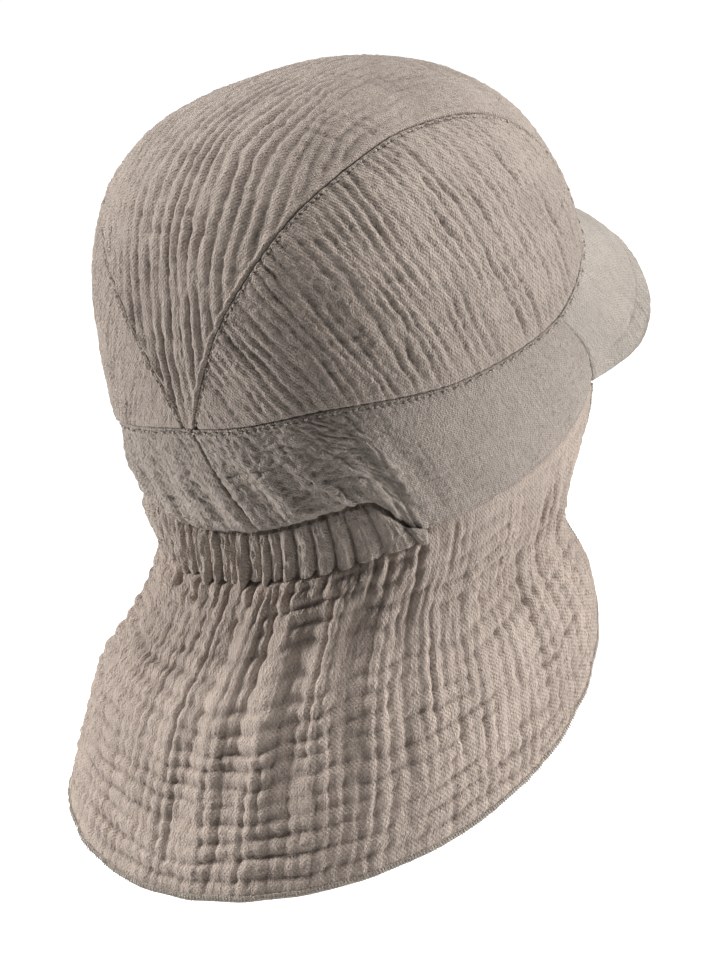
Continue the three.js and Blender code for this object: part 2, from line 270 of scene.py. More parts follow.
def rimPoint(across):
    corner = skin(peak["cornerTurn"], -peak["cornerDepth"])
    angle = across * 90 * degree
    out = np.abs(np.cos(angle)) ** (2 / peak["squareness"])
    aside = np.sign(across) * np.abs(np.sin(angle)) ** (2 / peak["squareness"])
    tipHeight = seamHeight(0.0) - peak["drop"]
    return points(
        corner[0] * aside,
        mix(corner[1], -crown["front"] - peak["length"], out),
        mix(corner[2], tipHeight, out**4),
    )


def peakPoint(across, inward):
    # Across from the right corner (-1) to the left (1), in from the free edge (0) to the crown seam (1)
    def arched(a):
        turn = a * (peak["rootTurn"] - gapTurn)
        root = skin(turn, seamHeight(turn) - crown["seamGap"] / 2)
        lift = peak["arch"] * np.sin(np.pi * inward)
        p = mix(rimPoint(a), root, inward[..., None])
        return p + points(0 * lift, 0 * lift, lift)

    side = np.where(across < 0, -1.0, 1.0)
    turn = mix(peak["cornerTurn"], peak["rootTurn"], inward) - gapTurn
    seam = skin(side * turn, bandHeight(side * turn, 1 - inward))
    hold = (np.abs(across) ** 3)[..., None]
    return arched(across) + (seam - arched(side)) * hold


def flapPoint(along, down):
    # Along from the right front edge round to the left, down from seam to hem
    corner = peak["cornerTurn"]
    turnRound = mix(corner, 360 - corner, along)
    hem = -band["depth"] - read(hemDrop, "round", "drop", turnRound) * flap["length"]
    edgeHem = -band["depth"] - hemDrop["drop"][0] * flap["length"]
    top = flapSeamHeight(turnRound) - casingEdge(turnRound, "below") - crown["seamGap"] / 2
    edgeHeight = mix(-peak["cornerDepth"], edgeHem, down)
    edgeTurn = read(flapFrontEdge, "level", "turn", levelOfHeight(edgeHeight))
    shift = (edgeTurn - corner) * ((1 - along) ** 5 - along**5)
    wave = np.sin(2 * np.pi * (flap["folds"] * along + 0.3 * np.sin(9 * along)))
    swing = 0.6 + 0.4 * np.sin(17 * along + 1)
    held = ease(down / 0.25) * ease(along / 0.1) * ease((1 - along) / 0.1)
    held = held * mix(1, 0.25, ease((down - 0.5) / 0.4))
    folds = flap["foldDepth"] * wave * swing * held
    tuck = -flap["tuck"] * nape(turnRound) * (1 - ease(down / 0.12))
    return skin(-(turnRound + shift), mix(top, hem, down), folds + tuck)


def hashed(i, j, seed):
    h = (i * 374761393 + j * 668265263 + seed * 974711) & 0xFFFFFFFF
    h = ((h ^ (h >> 13)) * 1274126177) & 0xFFFFFFFF
    return ((h ^ (h >> 16)) & 0xFFFF) / 65535.0


def noise(x, y, seed):
    # Gradient noise, about -1 to 1
    i = np.floor(x).astype(np.int64)
    j = np.floor(y).astype(np.int64)
    fx = x - i
    fy = y - j
    wx = fx**3 * (fx * (fx * 6 - 15) + 10)
    wy = fy**3 * (fy * (fy * 6 - 15) + 10)
    total = 0
    for di in (0, 1):
        for dj in (0, 1):
            angle = hashed(i + di, j + dj, seed) * 2 * np.pi
            slope = np.cos(angle) * (fx - di) + np.sin(angle) * (fy - dj)
            total = total + slope * (wx if di else 1 - wx) * (wy if dj else 1 - wy)
    return total * 1.5


def gathers(s, t, look):
    # Tubes of gathered cloth that run along t, 0 between them to 1 on their crests. s and t are in metres
    pitch = look["pitch"]
    seed = look["seed"]
    drift = 0.5 * noise(s / (5 * pitch), t / (6 * pitch), seed)
    drift = drift + 0.2 * noise(s / (1.5 * pitch), t / (1.1 * pitch), seed + 1)
    phase = s / pitch + drift
    tube = np.floor(phase)
    strength = np.clip(0.8 + 0.7 * noise(tube * 0.77 + 0.4, t / look["run"], seed + 6), 0.15, 1.3)
    return np.abs(np.sin(np.pi * phase)) ** 0.6 * strength


def drawnLines(s, t, look):
    # Puffs of gauze between lines that run along t. A line is a groove in places and a pinched crest in others
    pitch = look["pitch"]
    seed = look["seed"]
    drift = (
        look["drift"] * noise(s / (5 * pitch), t / (7 * pitch), seed)
        + look["wobble"] * noise(s / (1.7 * pitch), t / (1.2 * pitch), seed + 1)
    )
    phase = s / pitch + drift
    line = np.round(phase)
    number = line.astype(np.int64)
    zigzag = look["zigzag"] * noise(line * 3.7 + 0.31, t / (0.42 * pitch), seed + 2)
    off = phase - line + zigzag + 0.3 * (hashed(number, 0 * number, seed + 7) - 0.5)
    crisp = np.exp(-((np.abs(off) / look["width"]) ** 1.2))
    strength = np.clip(look.get("even", 0.4) + 1.1 * noise(line * 0.77 + 0.4, t / look["run"], seed + 3), 0, 1)
    kind = np.clip(4 * (noise(line * 1.93 + 0.1, t / (2.5 * look["run"]), seed + 4) + look["crests"]), -1, 1)
    puff = np.abs(np.sin(np.pi * phase)) ** 1.1 - 0.6
    fullness = 0.8 + 0.7 * noise(s / (2.5 * pitch), t / (3 * pitch), seed + 5)
    return look["puff"] * fullness * puff + look["line"] * strength * kind * crisp


# Width and length in metres of the uneven spots that all the gauze has
gauzeSpots = {
    "patch": (0.03, 0.02),
    "bend": (0.009, 0.009),
    "pebble": (0.0034, 0.003),
    "grain": (0.0015, 0.0015),
    "swell": (0.022, 0.03),
}


def crinkle(s, t, look):
    # Height of crinkled gauze: lines both ways, puckered cells, pebbles and a broad swell
    seed = look["seed"]

    def spots(name, number):
        width, length = gauzeSpots[name]
        return noise(s / width, t / length, seed + number)

    across = dict(look, pitch=look["crossPitch"], seed=seed + 20, run=look["crossRun"], line=look["crossLine"])
    across.update(puff=look["crossPuff"], wobble=0.1, drift=0.6, crests=look.get("crossCrests", -0.1))
    patches = ease(look["crossShare"] + 1.5 * spots("patch", 9))
    lines = drawnLines(s, t, look) + drawnLines(t, s, across) * patches
    bend = 0.4 * spots("bend", 15)
    cells = np.abs(noise(s / look["cellWidth"] + bend, t / look["cellHeight"], seed + 14))
    pucker = look["pucker"] * (np.minimum(1, cells) ** 0.7 - 0.45)
    pebbles = 0.5 - np.abs(spots("pebble", 11)) * 1.6 + 0.5 * spots("grain", 12)
    return lines + pebbles * look["pebble"] + spots("swell", 13) * look["swell"] + pucker


def spaced(count, length, lowSeam, highSeam):
    # Places of the grid lines, closer where an edge is turned into a seam
    near = np.array([0, 0.1, 0.25, 0.45, 0.75, 1.15]) * mm / length
    low = near if lowSeam else np.array([0.0])
    high = (1 - near)[::-1] if highSeam else np.array([1.0])
    start = 1.7 * mm / length if lowSeam else 1.0 / count
    end = 1 - 1.7 * mm / length if highSeam else 1 - 1.0 / count
    middle = np.linspace(start, end, count - len(low) - len(high) + 1)
    return np.concatenate([low, middle, high])


def surfaceNormal(at, u, v):
    step = 0.002
    alongU = at(np.minimum(1, u + step), v) - at(np.maximum(0, u - step), v)
    alongV = at(u, np.minimum(1, v + step)) - at(u, np.maximum(0, v - step))
    n = np.cross(alongU, alongV)
    return n / np.maximum(np.linalg.norm(n, axis=-1, keepdims=True), 1e-12)


def edgeDistances(p):
    stepU = np.linalg.norm(np.diff(p, axis=0), axis=-1)
    stepV = np.linalg.norm(np.diff(p, axis=1), axis=-1)
    u0 = np.concatenate([np.zeros((1, p.shape[1])), np.cumsum(stepU, axis=0)])
    v0 = np.concatenate([np.zeros((p.shape[0], 1)), np.cumsum(stepV, axis=1)], axis=1)
    return {"u0": u0, "u1": u0[-1:] - u0, "v0": v0, "v1": v0[:, -1:] - v0}


def linked(name, data):
    obj = bpy.data.objects.new(name, data)
    bpy.context.scene.collection.objects.link(obj)
    return obj


def meshFrom(name, vertices, faces, material):
    mesh = bpy.data.meshes.new(name)
    mesh.vertices.add(len(vertices))
    mesh.vertices.foreach_set("co", vertices.astype(np.float32).ravel())
    loops = np.concatenate([f.ravel() for f in faces])
    sizes = np.concatenate([np.full(len(f), f.shape[1]) for f in faces])
    mesh.loops.add(len(loops))
    mesh.loops.foreach_set("vertex_index", loops.astype(np.int32))
    mesh.polygons.add(len(sizes))
    mesh.polygons.foreach_set("loop_start", (np.cumsum(sizes) - sizes).astype(np.int32))
    mesh.update(calc_edges=True)
    mesh.polygons.foreach_set("use_smooth", np.ones(len(sizes), bool))
    mesh.materials.append(material)
    return linked(name, mesh)


def rimStrip(outerLine, innerLine):
    # Joins an outer edge line to an inner one that has half as many steps
    a, b, c = outerLine[:-2:2], outerLine[1:-1:2], outerLine[2::2]
    d, e = innerLine[:-1], innerLine[1:]
    return np.concatenate([np.stack([b, a, d], 1), np.stack([c, b, e], 1), np.stack([b, d, e], 1)])


def gridQuads(ids):
    return np.stack([ids[:-1, :-1], ids[1:, :-1], ids[1:, 1:], ids[:-1, 1:]], -1).reshape(-1, 4)


def bothFaces(values):
    # A shell's values at its outer points and then at its inner ones
    width = values.shape[2]
    return np.concatenate([values.reshape(-1, width), values[::2, ::2].reshape(-1, width)])


def clothShell(name, at, relief, cover, grid, cloth, seams, material):
    # A closed sheet of cloth: at(u, v) is its smooth face, relief(u, v) its height over that,
    # cover(u, v) its weave places
    u = spaced(grid["columns"], grid["length"], "u0" in seams, "u1" in seams)
    v = spaced(grid["rows"], grid["height"], "v0" in seams, "v1" in seams)
    uu, vv = np.meshgrid(u, v, indexing="ij")
    p = at(uu, vv)
    n = surfaceNormal(at, uu, vv)
    reaches = edgeDistances(p)
    height = relief(uu, vv)
    dip = np.zeros_like(height)
    thickness = cloth["thickness"]
    depth = np.full_like(height, thickness)
    for edge in cloth.get("sewn", ()):
        # small pits between the stitches
        run = reaches["u0"] if edge in ("v0", "v1") else reaches["v0"]
        pits = (0.5 - 0.5 * np.cos(2 * np.pi * run / seamStitch["pitch"])) ** 2
        offLine = (reaches[edge] - seamStitch["inset"]) / seamStitch["pitWidth"]
        dip = dip + seamStitch["pit"] * np.exp(-(offLine**2)) * pits
    for edge in seams:
        near = reaches[edge]
        r = seams[edge](uu, vv) if callable(seams[edge]) else seams[edge]
        height = height * mix(0.55, 1, ease(near / (4 * mm)))
        dip = dip + r - np.sqrt(np.maximum(r * r - np.maximum(0, r - near) ** 2, 0))
        depth = np.maximum(depth, mix(thickness + 1.2 * mm, thickness, ease(near / (3 * mm))))
    total = height - dip
    outer = p + n * total[..., None]
    base = (height - np.minimum(dip, 0.5 * mm))[::2, ::2]
    inner = p[::2, ::2] + n[::2, ::2] * (base - depth[::2, ::2])[..., None]
    shellGrids[name] = (outer, n, reaches)
    outerIds = np.arange(outer.shape[0] * outer.shape[1]).reshape(outer.shape[:2])
    innerIds = np.arange(inner.shape[0] * inner.shape[1]).reshape(inner.shape[:2]) + outerIds.size
    quads = np.concatenate([gridQuads(outerIds), gridQuads(innerIds)[:, ::-1]])
    rims = [
        rimStrip(outerIds[:, 0], innerIds[:, 0]),
        rimStrip(outerIds[::-1, -1], innerIds[::-1, -1]),
        rimStrip(outerIds[0, ::-1], innerIds[0, ::-1]),
        rimStrip(outerIds[-1, :], innerIds[-1, :]),
    ]
    vertices = np.concatenate([outer.reshape(-1, 3), inner.reshape(-1, 3)])
    obj = meshFrom(name, vertices, [quads, np.concatenate(rims)], material)
    places = np.stack(np.broadcast_arrays(*cover(uu, vv)), -1)
    # each point's depth below the base is kept as 'hollow', which the material turns into painted shade
    weaveAttributes(obj, bothFaces(places), bothFaces(-total[..., None]).ravel())
    return obj


def weaveAttributes(obj, places, hollow):
    mesh = obj.data
    corner = np.empty(len(mesh.loops), np.int32)
    mesh.loops.foreach_get("vertex_index", corner)
    layer = mesh.uv_layers.new(name="weave")
    layer.uv.foreach_set("vector", places[corner].astype(np.float32).ravel())
    shade = mesh.attributes.new("hollow", "FLOAT", "POINT")
    shade.data.foreach_set("value", hollow.astype(np.float32))


print("surface functions ready")


# Materials

def fill(tree, made, inputs):
    # Gives each input of a node a value or a link from another node's output
    for name, value in inputs.items():
        if isinstance(value, bpy.types.NodeSocket):
            tree.links.new(value, made.inputs[name])
        else:
            made.inputs[name].default_value = value


def node(tree, kind, inputs=None, **settings):
    made = tree.nodes.new(kind)
    for name, value in settings.items():
        setattr(made, name, value)
    fill(tree, made, inputs or {})
    return made


def groupTree(name, kind, inputs, outputs):
    # A node group, with the sockets that give its inputs and take its results
    tree = bpy.data.node_groups.new(name, kind)
    for way, sockets in (("INPUT", inputs), ("OUTPUT", outputs)):
        for label, socketKind in sockets.items():
            tree.interface.new_socket(label, in_out=way, socket_type="NodeSocket" + socketKind)
    return tree, tree.nodes.new("NodeGroupInput").outputs, tree.nodes.new("NodeGroupOutput").inputs


def mathNode(tree, operation, *values):
    return node(tree, "ShaderNodeMath", dict(enumerate(values)), operation=operation).outputs[0]


def noiseNode(tree, vector, scale, detail=2.0, rough=0.5):
    given = {"Vector": vector, "Scale": scale, "Detail": detail, "Roughness": rough}
    return node(tree, "ShaderNodeTexNoise", given).outputs[0]


def mapRange(tree, value, low, high, toLow, toHigh):
    given = {"Value": value, "From Min": low, "From Max": high, "To Min": toLow, "To Max": toHigh}
    return node(tree, "ShaderNodeMapRange", given).outputs["Result"]


def mixColor(tree, factor, a, b):
    return node(tree, "ShaderNodeMix", {0: factor, 6: a, 7: b}, data_type="RGBA").outputs[2]


# Scales are in features a metre. Heights and tones are shares
yarn = sized(
    dict(wander=1.8, hollowDepth=0.9),
    hollowShade=0.8,
    wanderScale=420.0,
    slubScale=(1500, 130, 1),
    crossSlubScale=(130, 1500, 1),
    creaseScale=(420, 130, 1),
    creaseWidth=0.05,
    fuzzScale=1900.0,
    broadScale=45.0,
    heights={"knots": 0.5, "slubs": 0.6, "fuzz": 1.1, "crease": -0.45},
    # the negative crease tone is painted shade along the fine creases
    tones={"slubs": 0.35, "knots": 0.25, "broad": 1, "fuzz": 0.8, "crease": -0.08},
    brightness=(0.7, 1.4, 0.7, 1.3),
    roughness=(0.6, 1.4, 0.97, 0.86),
)


def gauzeGroup():
    # Weave, uneven yarn and mottle of soft cotton gauze, with painted shade in the hollows of its relief: takes
    # the places of the cloth in metres
    inputs = {"Place": "Vector", "Hollow": "Float", "Cloth": "Color", "Shadow": "Color"}
    inputs.update({"Thread Pitch": "Float", "Mottle": "Float", "Weave": "Float"})
    outputs = {"Color": "Color", "Height": "Float", "Roughness": "Float"}
    tree, given, result = groupTree("gauze", "ShaderNodeTree", inputs, outputs)
    place = given["Place"]

    def times(a, b):
        return mathNode(tree, "MULTIPLY", a, b)

    def plus(a, b):
        return mathNode(tree, "ADD", a, b)

    def minus(a, b):
        return mathNode(tree, "SUBTRACT", a, b)

    def summed(shares, **parts):
        total = 0.0
        for name, part in parts.items():
            total = plus(total, times(part, shares[name]))
        return total

    def threadTurn(way):
        return mathNode(tree, "SINE", mathNode(tree, "DIVIDE", times(way, math.pi), given["Thread Pitch"]))

    def stretched(scale, detail=2.0, rough=0.5):
        mapping = node(tree, "ShaderNodeMapping", {"Vector": place, "Scale": scale})
        return noiseNode(tree, mapping.outputs[0], 1.0, detail, rough)

    parts = node(tree, "ShaderNodeSeparateXYZ", {0: place}).outputs
    # each thread wanders a little and is thick and thin by turns
    shift = times(minus(noiseNode(tree, place, yarn["wanderScale"]), 0.5), yarn["wander"])
    over = times(threadTurn(plus(parts[0], shift)), threadTurn(minus(parts[1], shift)))
    knots = mathNode(tree, "MULTIPLY_ADD", over, 0.5, 0.5)
    slubs = plus(stretched(yarn["slubScale"]), stretched(yarn["crossSlubScale"]))
    # thin creases finer than the mesh, raised as a bump; their darker tone is painted shade
    folded = mathNode(tree, "ABSOLUTE", minus(stretched(yarn["creaseScale"], 3.0, 0.6), 0.5))
    crease = mapRange(tree, folded, 0.0, yarn["creaseWidth"], 1.0, 0.0)
    fuzz = noiseNode(tree, place, yarn["fuzzScale"], 3.0, 0.75)
    broad = noiseNode(tree, place, yarn["broadScale"], 3.0, 0.6)
    height = summed(yarn["heights"], knots=times(knots, given["Weave"]), slubs=slubs, fuzz=fuzz, crease=crease)
    mottle = times(broad, given["Mottle"])
    tone = summed(yarn["tones"], slubs=slubs, knots=knots, broad=mottle, fuzz=fuzz, crease=crease)
    # painted shade: the deeper a point lies in a hollow, the more its colour goes to the Shadow colour
    shade = mapRange(tree, given["Hollow"], 0.0, yarn["hollowDepth"], 0.0, yarn["hollowShade"])
    color = mixColor(tree, shade, given["Cloth"], given["Shadow"])
    bright = mapRange(tree, tone, *yarn["brightness"])
    scaled = node(tree, "ShaderNodeVectorMath", {0: color, "Scale": bright}, operation="SCALE")
    tree.links.new(scaled.outputs[0], result["Color"])
    tree.links.new(height, result["Height"])
    tree.links.new(mapRange(tree, slubs, *yarn["roughness"]), result["Roughness"])
    return tree


gauze = gauzeGroup()


def clothMaterial(name, look):
    material = bpy.data.materials.new(name)
    material.use_nodes = True
    tree = material.node_tree
    shader = tree.nodes["Principled BSDF"]
    places = node(tree, "ShaderNodeUVMap", uv_map="weave")
    # depth in the hollows, which the gauze group paints as shade
    hollow = node(tree, "ShaderNodeAttribute", attribute_name="hollow")
    group = node(tree, "ShaderNodeGroup", node_tree=gauze)
    given = {
        "Place": places.outputs[0],
        "Hollow": hollow.outputs["Fac"],
        "Cloth": (*look["cloth"], 1),
        "Shadow": (*look["shadow"], 1),
        "Thread Pitch": look["threadPitch"],
        "Mottle": look["mottle"],
        "Weave": look["weave"],
    }
    fill(tree, group, given)
    relief = {"Strength": look["bump"], "Distance": look["bumpDepth"], "Height": group.outputs["Height"]}
    bump = node(tree, "ShaderNodeBump", relief)
    given = {
        "Normal": bump.outputs[0],
        "Base Color": group.outputs["Color"],
        "Roughness": group.outputs["Roughness"],
        "Sheen Weight": look["sheen"],
        "Sheen Roughness": 0.45,
        "Specular IOR Level": 0.2,
    }
    fill(tree, shader, given)
    return material


clothLook = sized(dict(threadPitch=0.7, bumpDepth=0.8), mottle=0.35, weave=1.0, bump=0.9, sheen=0.2)
plainCloth = (0.485, 0.402, 0.344)
plainShadow = (0.27, 0.222, 0.19)


def clothOf(name, cloth, shadow=plainShadow, **changes):
    return clothMaterial(name, dict(clothLook, cloth=cloth, shadow=shadow, **changes))


# All pieces are one gauze: the band's copy is darker as painted shade, and the casing's and flap's copies are
# lighter as painted light, with lighter shadow colours that paint less shade in their hollows
crownCloth = clothOf("crownGauze", plainCloth)
bandCloth = clothOf("bandGauze", (0.46, 0.392, 0.339))
casingCloth = clothOf("casingGauze", (0.54, 0.453, 0.388), (0.37, 0.304, 0.259))
peakCloth = clothOf("peakGauze", (0.475, 0.417, 0.363), (0.31, 0.265, 0.225), mottle=0.25)
flapCloth = clothOf("flapGauze", (0.61, 0.498, 0.424), (0.45, 0.362, 0.306))
threadCloth = clothOf("sewingThread", (0.62, 0.54, 0.46), (0.48, 0.41, 0.34), threadPitch=0.4 * mm)
print("materials ready")


# Stitches

def stitchTree():
    # One stitch of thread after another along a line that lies on the cloth
    inputs = {"Geometry": "Geometry", "Pitch": "Float", "Size": "Vector", "Slant": "Float", "Seed": "Int"}
    inputs["Thread"] = "Material"
    tree, given, result = groupTree("stitches", "GeometryNodeTree", inputs, {"Geometry": "Geometry"})
    curve = node(tree, "GeometryNodeMeshToCurve", {"Mesh": given["Geometry"]})
    spacing = {"Curve": curve.outputs["Curve"], "Length": given["Pitch"]}
    resampled = node(tree, "GeometryNodeResampleCurve", spacing, mode="LENGTH")
    ball = node(tree, "GeometryNodeMeshUVSphere", {"Segments": 6, "Rings": 5, "Radius": 0.5})
    sized = {"Geometry": ball.outputs["Mesh"], "Scale": given["Size"]}
    shaped = node(tree, "GeometryNodeTransform", sized)
    spin = node(tree, "ShaderNodeCombineXYZ", {"Z": given["Slant"]})
    slanted = {"Geometry": shaped.outputs["Geometry"], "Rotation": spin.outputs[0]}
    turned = node(tree, "GeometryNodeTransform", slanted)
    tangent = node(tree, "GeometryNodeInputTangent")
    along = node(tree, "FunctionNodeAlignRotationToVector", {"Vector": tangent.outputs[0]}, axis="X")
    outwards = node(tree, "GeometryNodeInputNamedAttribute", {"Name": "outwards"}, data_type="FLOAT_VECTOR")
    facing = {"Rotation": along.outputs[0], "Vector": outwards.outputs["Attribute"]}
    upright = node(tree, "FunctionNodeAlignRotationToVector", facing, axis="Z", pivot_axis="X")
    sizes = {"Min": (0.8, 0.85, 0.8), "Max": (1.15, 1.15, 1.2), "Seed": given["Seed"]}
    uneven = node(tree, "FunctionNodeRandomValue", sizes, data_type="FLOAT_VECTOR")
    places = {
        "Points": resampled.outputs["Curve"],
        "Instance": turned.outputs["Geometry"],
        "Rotation": upright.outputs[0],
        "Scale": uneven.outputs["Value"],
    }
    placed = node(tree, "GeometryNodeInstanceOnPoints", places)
    plain = node(tree, "GeometryNodeRealizeInstances", {0: placed.outputs[0]})
    coloured = {"Geometry": plain.outputs[0], "Material": given["Thread"]}
    tree.links.new(node(tree, "GeometryNodeSetMaterial", coloured).outputs[0], result["Geometry"])
    return tree


stitches = stitchTree()


def stitched(piece, line, look):
    # Sews a row of stitches along a line of points and directions, and joins them to the piece
    places, directions = line
    vertices = places + directions * look["lift"]
    mesh = bpy.data.meshes.new("stitchLine")
    mesh.from_pydata(vertices.tolist(), [(k, k + 1) for k in range(len(places) - 1)], [])
    outwards = mesh.attributes.new("outwards", "FLOAT_VECTOR", "POINT")
    outwards.data.foreach_set("vector", directions.astype(np.float32).ravel())
    obj = linked("stitchLine", mesh)
    modifier = obj.modifiers.new("stitches", "NODES")
    modifier.node_group = stitches
    given = {name.capitalize(): look[name] for name in ("pitch", "size", "slant", "seed")}
    given["Thread"] = threadCloth
    for item in stitches.interface.items_tree:
        if item.in_out == "INPUT" and item.name in given:
            modifier[item.identifier] = given[item.name]
    ready = obj.evaluated_get(bpy.context.evaluated_depsgraph_get())
    plain = bpy.data.meshes.new_from_object(ready)
    obj.modifiers.remove(modifier)
    obj.data = plain
    co = np.empty(len(plain.vertices) * 3, np.float32)
    plain.vertices.foreach_get("co", co)
    x, y, z = co.reshape(-1, 3).T
    for layer in list(plain.uv_layers):
        plain.uv_layers.remove(layer)
    weaveAttributes(obj, np.stack([x + y, z], -1), np.zeros(len(x)))
    plain.polygons.foreach_set("use_smooth", np.ones(len(plain.polygons), bool))
    both = [piece, obj]
    with bpy.context.temp_override(
        active_object=piece, object=piece, selected_objects=both, selected_editable_objects=both
    ):
        bpy.ops.object.join()


shellGrids = {}
seamStitch = sized(dict(pitch=2.3, lift=0.3, inset=1.4, pit=1.3, pitWidth=0.5), slant=0.12, seed=5)
seamStitch["size"] = (1.3 * mm, 0.65 * mm, 0.6 * mm)


def seamLine(name, edge):
    # The line on a shell's outer face that stays a stitch's inset from one edge,
    # as its points and the directions out of the cloth
    outer, n, reaches = shellGrids[name]
    reach = reaches[edge]
    if edge == "v1":
        outer, n, reach = outer[:, ::-1], n[:, ::-1], reach[:, ::-1]
    line, directions = [], []
    for k in range(2, len(outer) - 2):
        place = np.interp(seamStitch["inset"], reach[k], np.arange(reach.shape[1]))
        low = int(place)
        line.append(mix(outer[k, low], outer[k, low + 1], place - low))
        directions.append(n[k, low])
    return np.array(line), np.array(directions)


# Crown

crownLook = sized(
    dict(
        pitch=4.7, puff=1.1, line=0.75, crossPitch=6.5, crossLine=0.45, crossPuff=0.3, cellWidth=3.6,
        cellHeight=7, pucker=0.35, pebble=0.25, swell=0.5, roll=0.7, rollInset=1.3, spread=84, length=275,
    ),
    width=0.12, drift=0.5, wobble=0.14, zigzag=0.09, run=0.02, crests=-0.22, crossRun=0.015, crossShare=0.4,
    flatPuff=0.15, flatLine=0.6, seed=3,
)
seamRadius = 0.95 * mm
crownThickness = {"thickness": 1.2 * mm}


def middleAt(u, v):
    ends = crown["seamGap"] / 2 / (math.pi * crown["height"])
    way = mix(ends, 1 - ends, u)
    reach = np.abs(middlePoint(way, np.ones_like(way))[..., 0])
    return middlePoint(way, mix(-1, 1, v) * (1 - crown["seamGap"] / 2 / reach))


def middleCover(u, v):
    spread = panelAngle(u, mix(-1, 1, v))[0]
    return spread * degree * crownLook["spread"], u * crownLook["length"]


def calmer(look, **shares):
    # A look whose named reliefs are made smaller, each by its share
    return dict(look, **{name: look[name] * share for name, share in shares.items()})


def middleRelief(u, v):
    s, t = middleCover(u, v)
    flat = ease((u - 0.33) / 0.3)
    look = calmer(crownLook, puff=mix(1, crownLook["flatPuff"], flat), line=mix(1, crownLook["flatLine"], flat))
    # the edges roll up beside the seams
    halfWidth = np.maximum(0.01, np.abs(middleCover(u, 0 * v + 1)[0]))
    fromEdge = (1 - np.abs(mix(-1, 1, v))) * halfWidth - crownLook["rollInset"]
    return crinkle(s, t, look) + crownLook["roll"] * np.exp(-((fromEdge / crownLook["roll"]) ** 2))


def crownMiddlePanel():
    grid = {"columns": 300, "rows": 210, "length": crownLook["length"], "height": 90 * mm}
    seams = {"u0": seamRadius, "u1": seamRadius, "v0": 0.6 * seamRadius, "v1": 0.6 * seamRadius}
    shape = [middleAt, middleRelief, middleCover]
    obj = clothShell("crownMiddlePanel", *shape, grid, crownThickness, seams, crownCloth)
    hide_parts("crown_middle_panel")
    return obj


sideLook = sized(
    dict(
        pitch=4.1, puff=0.95, line=1.05, crossPitch=6, crossLine=0.4, crossPuff=0.2, cellWidth=3.4,
        cellHeight=5.5, pucker=0.3, pebble=0.22, swell=0.5, length=200,
    ),
    width=0.14, drift=0.45, wobble=0.16, zigzag=0.13, run=0.017, crests=0.05, crossRun=0.012,
    crossShare=0.35, slant=0.5, flatPuff=0.3, flatLine=0.6, fullness=1.08, seed=41,
)


def crownSidePanel(name, cadNode, side):
    def at(u, v):
        return sidePoint(side, mix(0.012, 0.988, u), 1 - v if side > 0 else v)

    def cover(u, v):
        length = np.linalg.norm(sidePoint(side, u, 0 * v + 1) - sidePoint(side, u, 0 * v), axis=-1)
        return u * sideLook["length"], (1 - v if side > 0 else v) * length * sideLook["fullness"]

    def relief(u, v):
        # the ridges lean forward on their way down
        s, t = cover(u, v)
        flat = np.maximum(ease((u - 0.6) / 0.3), ease((0.2 - u) / 0.12) * ease((0.022 - t) / 0.012))
        look = dict(sideLook, seed=sideLook["seed"] + side)
        look = calmer(look, puff=mix(1, sideLook["flatPuff"], flat), line=mix(1, sideLook["flatLine"], flat))
        return crinkle(s + sideLook["slant"] * t, t, look)

    grid = {"columns": 340, "rows": 150, "length": sideLook["length"], "height": 80 * mm}
    seams = {edge: seamRadius for edge in ("u0", "u1", "v0", "v1")}
    top = "v0" if side > 0 else "v1"
    obj = clothShell(name, at, relief, cover, grid, dict(crownThickness, sewn=[top]), seams, crownCloth)
    stitched(obj, seamLine(name, top), seamStitch)
    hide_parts(cadNode)
    return obj


# Band

bandLook = sized(
    dict(
        pitch=4.3, puff=0.3, line=0.4, crossPitch=4.4, crossLine=0.6, crossPuff=0.35, cellWidth=5,
        cellHeight=3.2, pucker=1.15, pebble=0.25, swell=0.6, pullPitch=5, pullDepth=2.1, lip=1.1, tuck=0.5,
        footRadius=1.6, length=170,
    ),
    width=0.14, drift=0.5, wobble=0.2, zigzag=0.12, run=0.012, crests=0.05, crossRun=0.012, crossShare=0.6,
    slant=0.35, rightSlant=0.1, seed=77,
)


